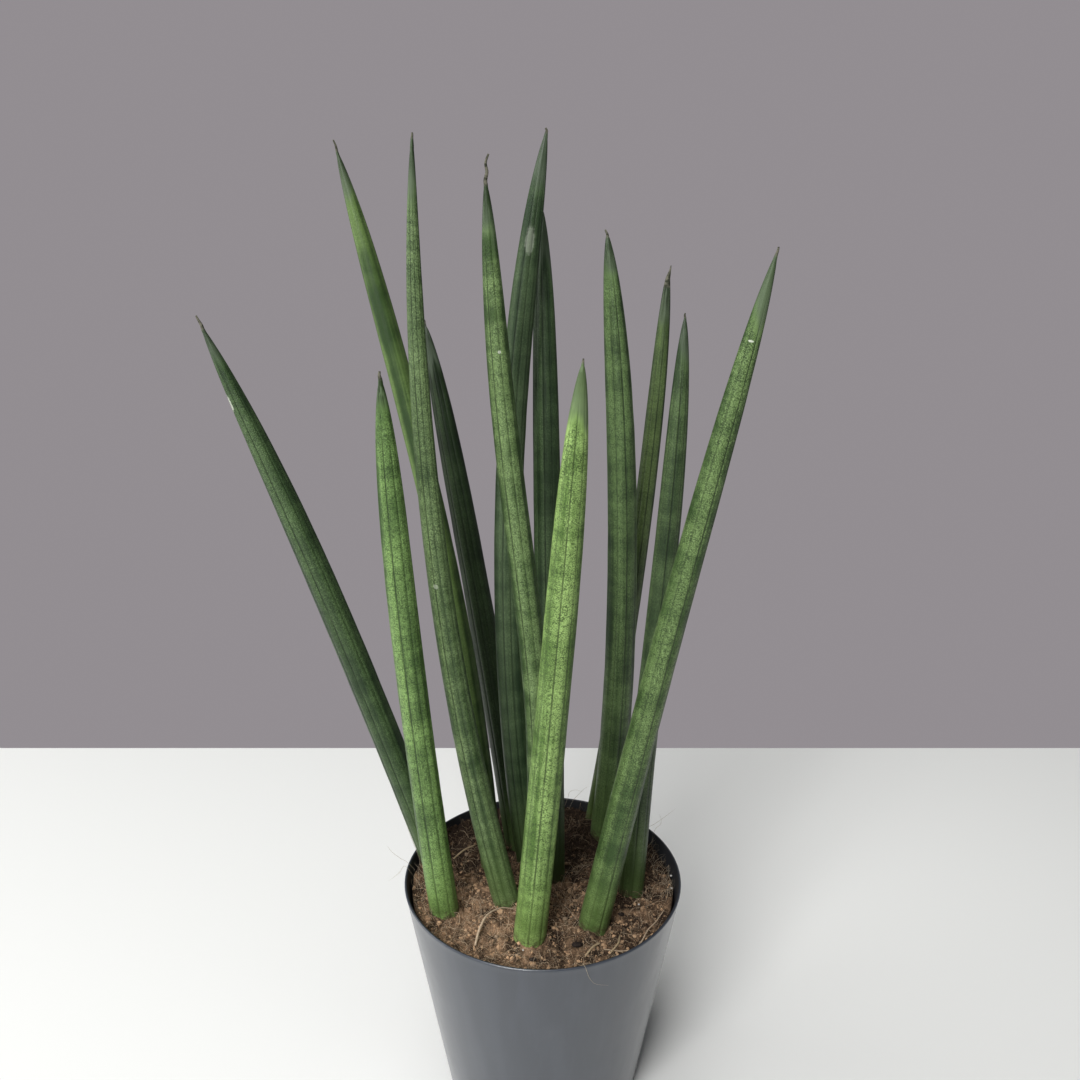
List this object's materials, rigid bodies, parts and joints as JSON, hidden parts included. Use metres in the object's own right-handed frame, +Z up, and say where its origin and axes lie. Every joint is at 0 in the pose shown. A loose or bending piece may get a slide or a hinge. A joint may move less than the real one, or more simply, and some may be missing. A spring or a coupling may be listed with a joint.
{
  "type": "potted snake plant",
  "caption": "Snake plant with upright, round, pointed leaves growing from coir soil in a plain round tapered plastic pot.",
  "frame": {"origin": "centre of the pot's flat underside, on the surface the pot stands on", "axes": "+Z up along the pot's axis, the way the leaves grow; the front is -Y; the two far leaves lean to -X and +X"},
  "size_m": [0.2059, 0.1204, 0.4101],
  "materials": {
    "pot_plastic": "smooth moulded plastic, dark blue grey, soft sheen",
    "coir_soil": "rough crumbly coir and peat, matt",
    "leaf_deep": "waxy leaf skin, deep green with darker cross bands and fine furrows",
    "leaf_middle": "waxy leaf skin, middle green with darker cross bands and fine furrows",
    "leaf_bright": "waxy leaf skin, fresh green with fine dark flecks and furrows",
    "coir_fibre": "dry pale tan fibre, matt"
  },
  "bodies": {
    "root": {"pot": "pot_plastic", "soil": "coir_soil", "leaf_far_left": "leaf_deep", "leaf_short_left": "leaf_bright", "leaf_tall_left_rear": "leaf_deep", "leaf_tall_left_front": "leaf_middle", "leaf_rear_left": "leaf_deep", "leaf_tall_middle": "leaf_middle", "leaf_short_front": "leaf_bright", "leaf_tallest": "leaf_deep", "leaf_rear_middle": "leaf_deep", "leaf_rear_right": "leaf_deep", "leaf_thin_rear": "leaf_deep", "leaf_slim_right": "leaf_deep", "leaf_far_right": "leaf_middle", "coir_strand_arched": "coir_fibre", "coir_strand_right": "coir_fibre"}
  },
  "joints": []
}
